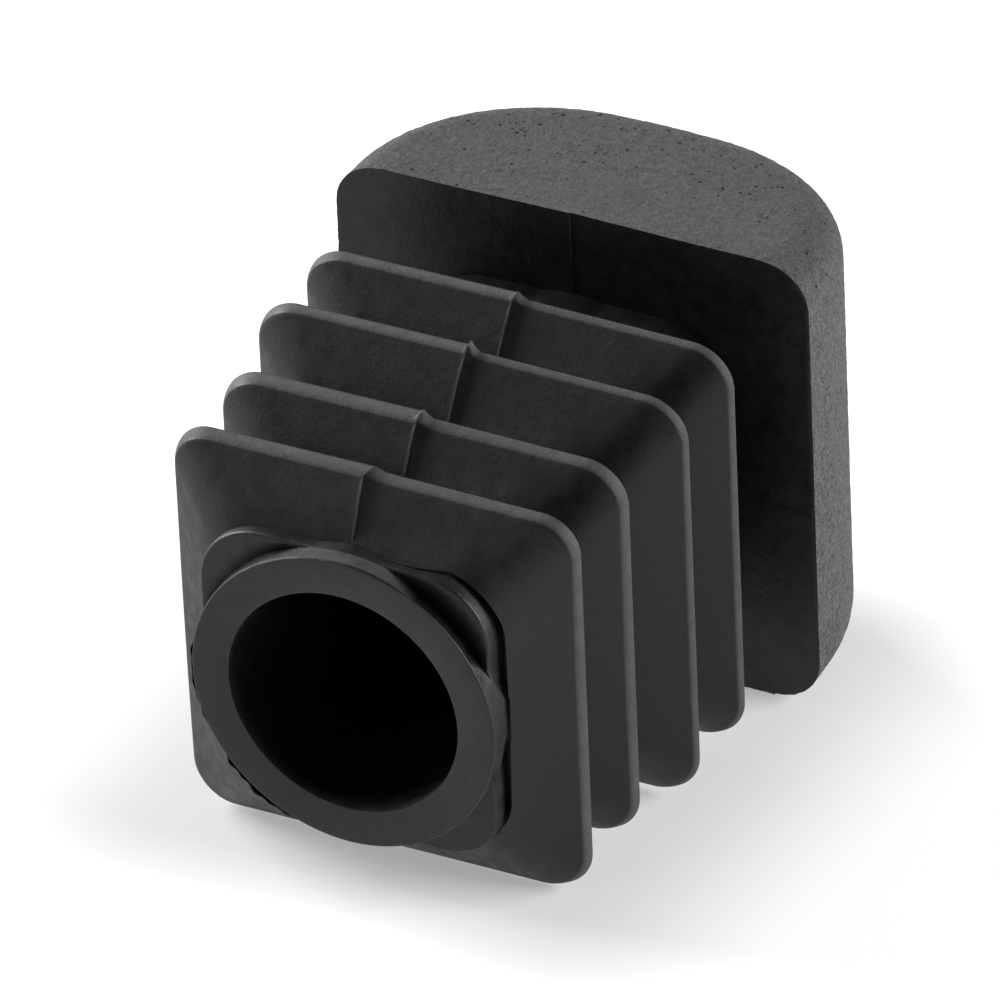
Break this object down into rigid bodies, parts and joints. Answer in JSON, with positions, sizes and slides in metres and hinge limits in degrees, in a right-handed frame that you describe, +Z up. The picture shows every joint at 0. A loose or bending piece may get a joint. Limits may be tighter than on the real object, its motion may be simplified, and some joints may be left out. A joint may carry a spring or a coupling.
{
  "type": "square tube end cap",
  "caption": "Arched push-in cap for the end of a square tube, with a hollow square plug that carries a row of thin sloping fins.",
  "frame": {"origin": "centre of the cap's outline on the surface that it lies on", "axes": "+Z up as the loose cap lies, +Y from the plug's open end to the arched head, tilted 5.1 degrees down towards the open end, +X along the head's arch"},
  "size_m": [0.025, 0.0378, 0.0249],
  "materials": {
    "end_cap": "satin moulded plug and underside, fine matt grain on the arched head"
  },
  "bodies": {
    "root": {"end_cap": "end_cap"}
  },
  "joints": []
}
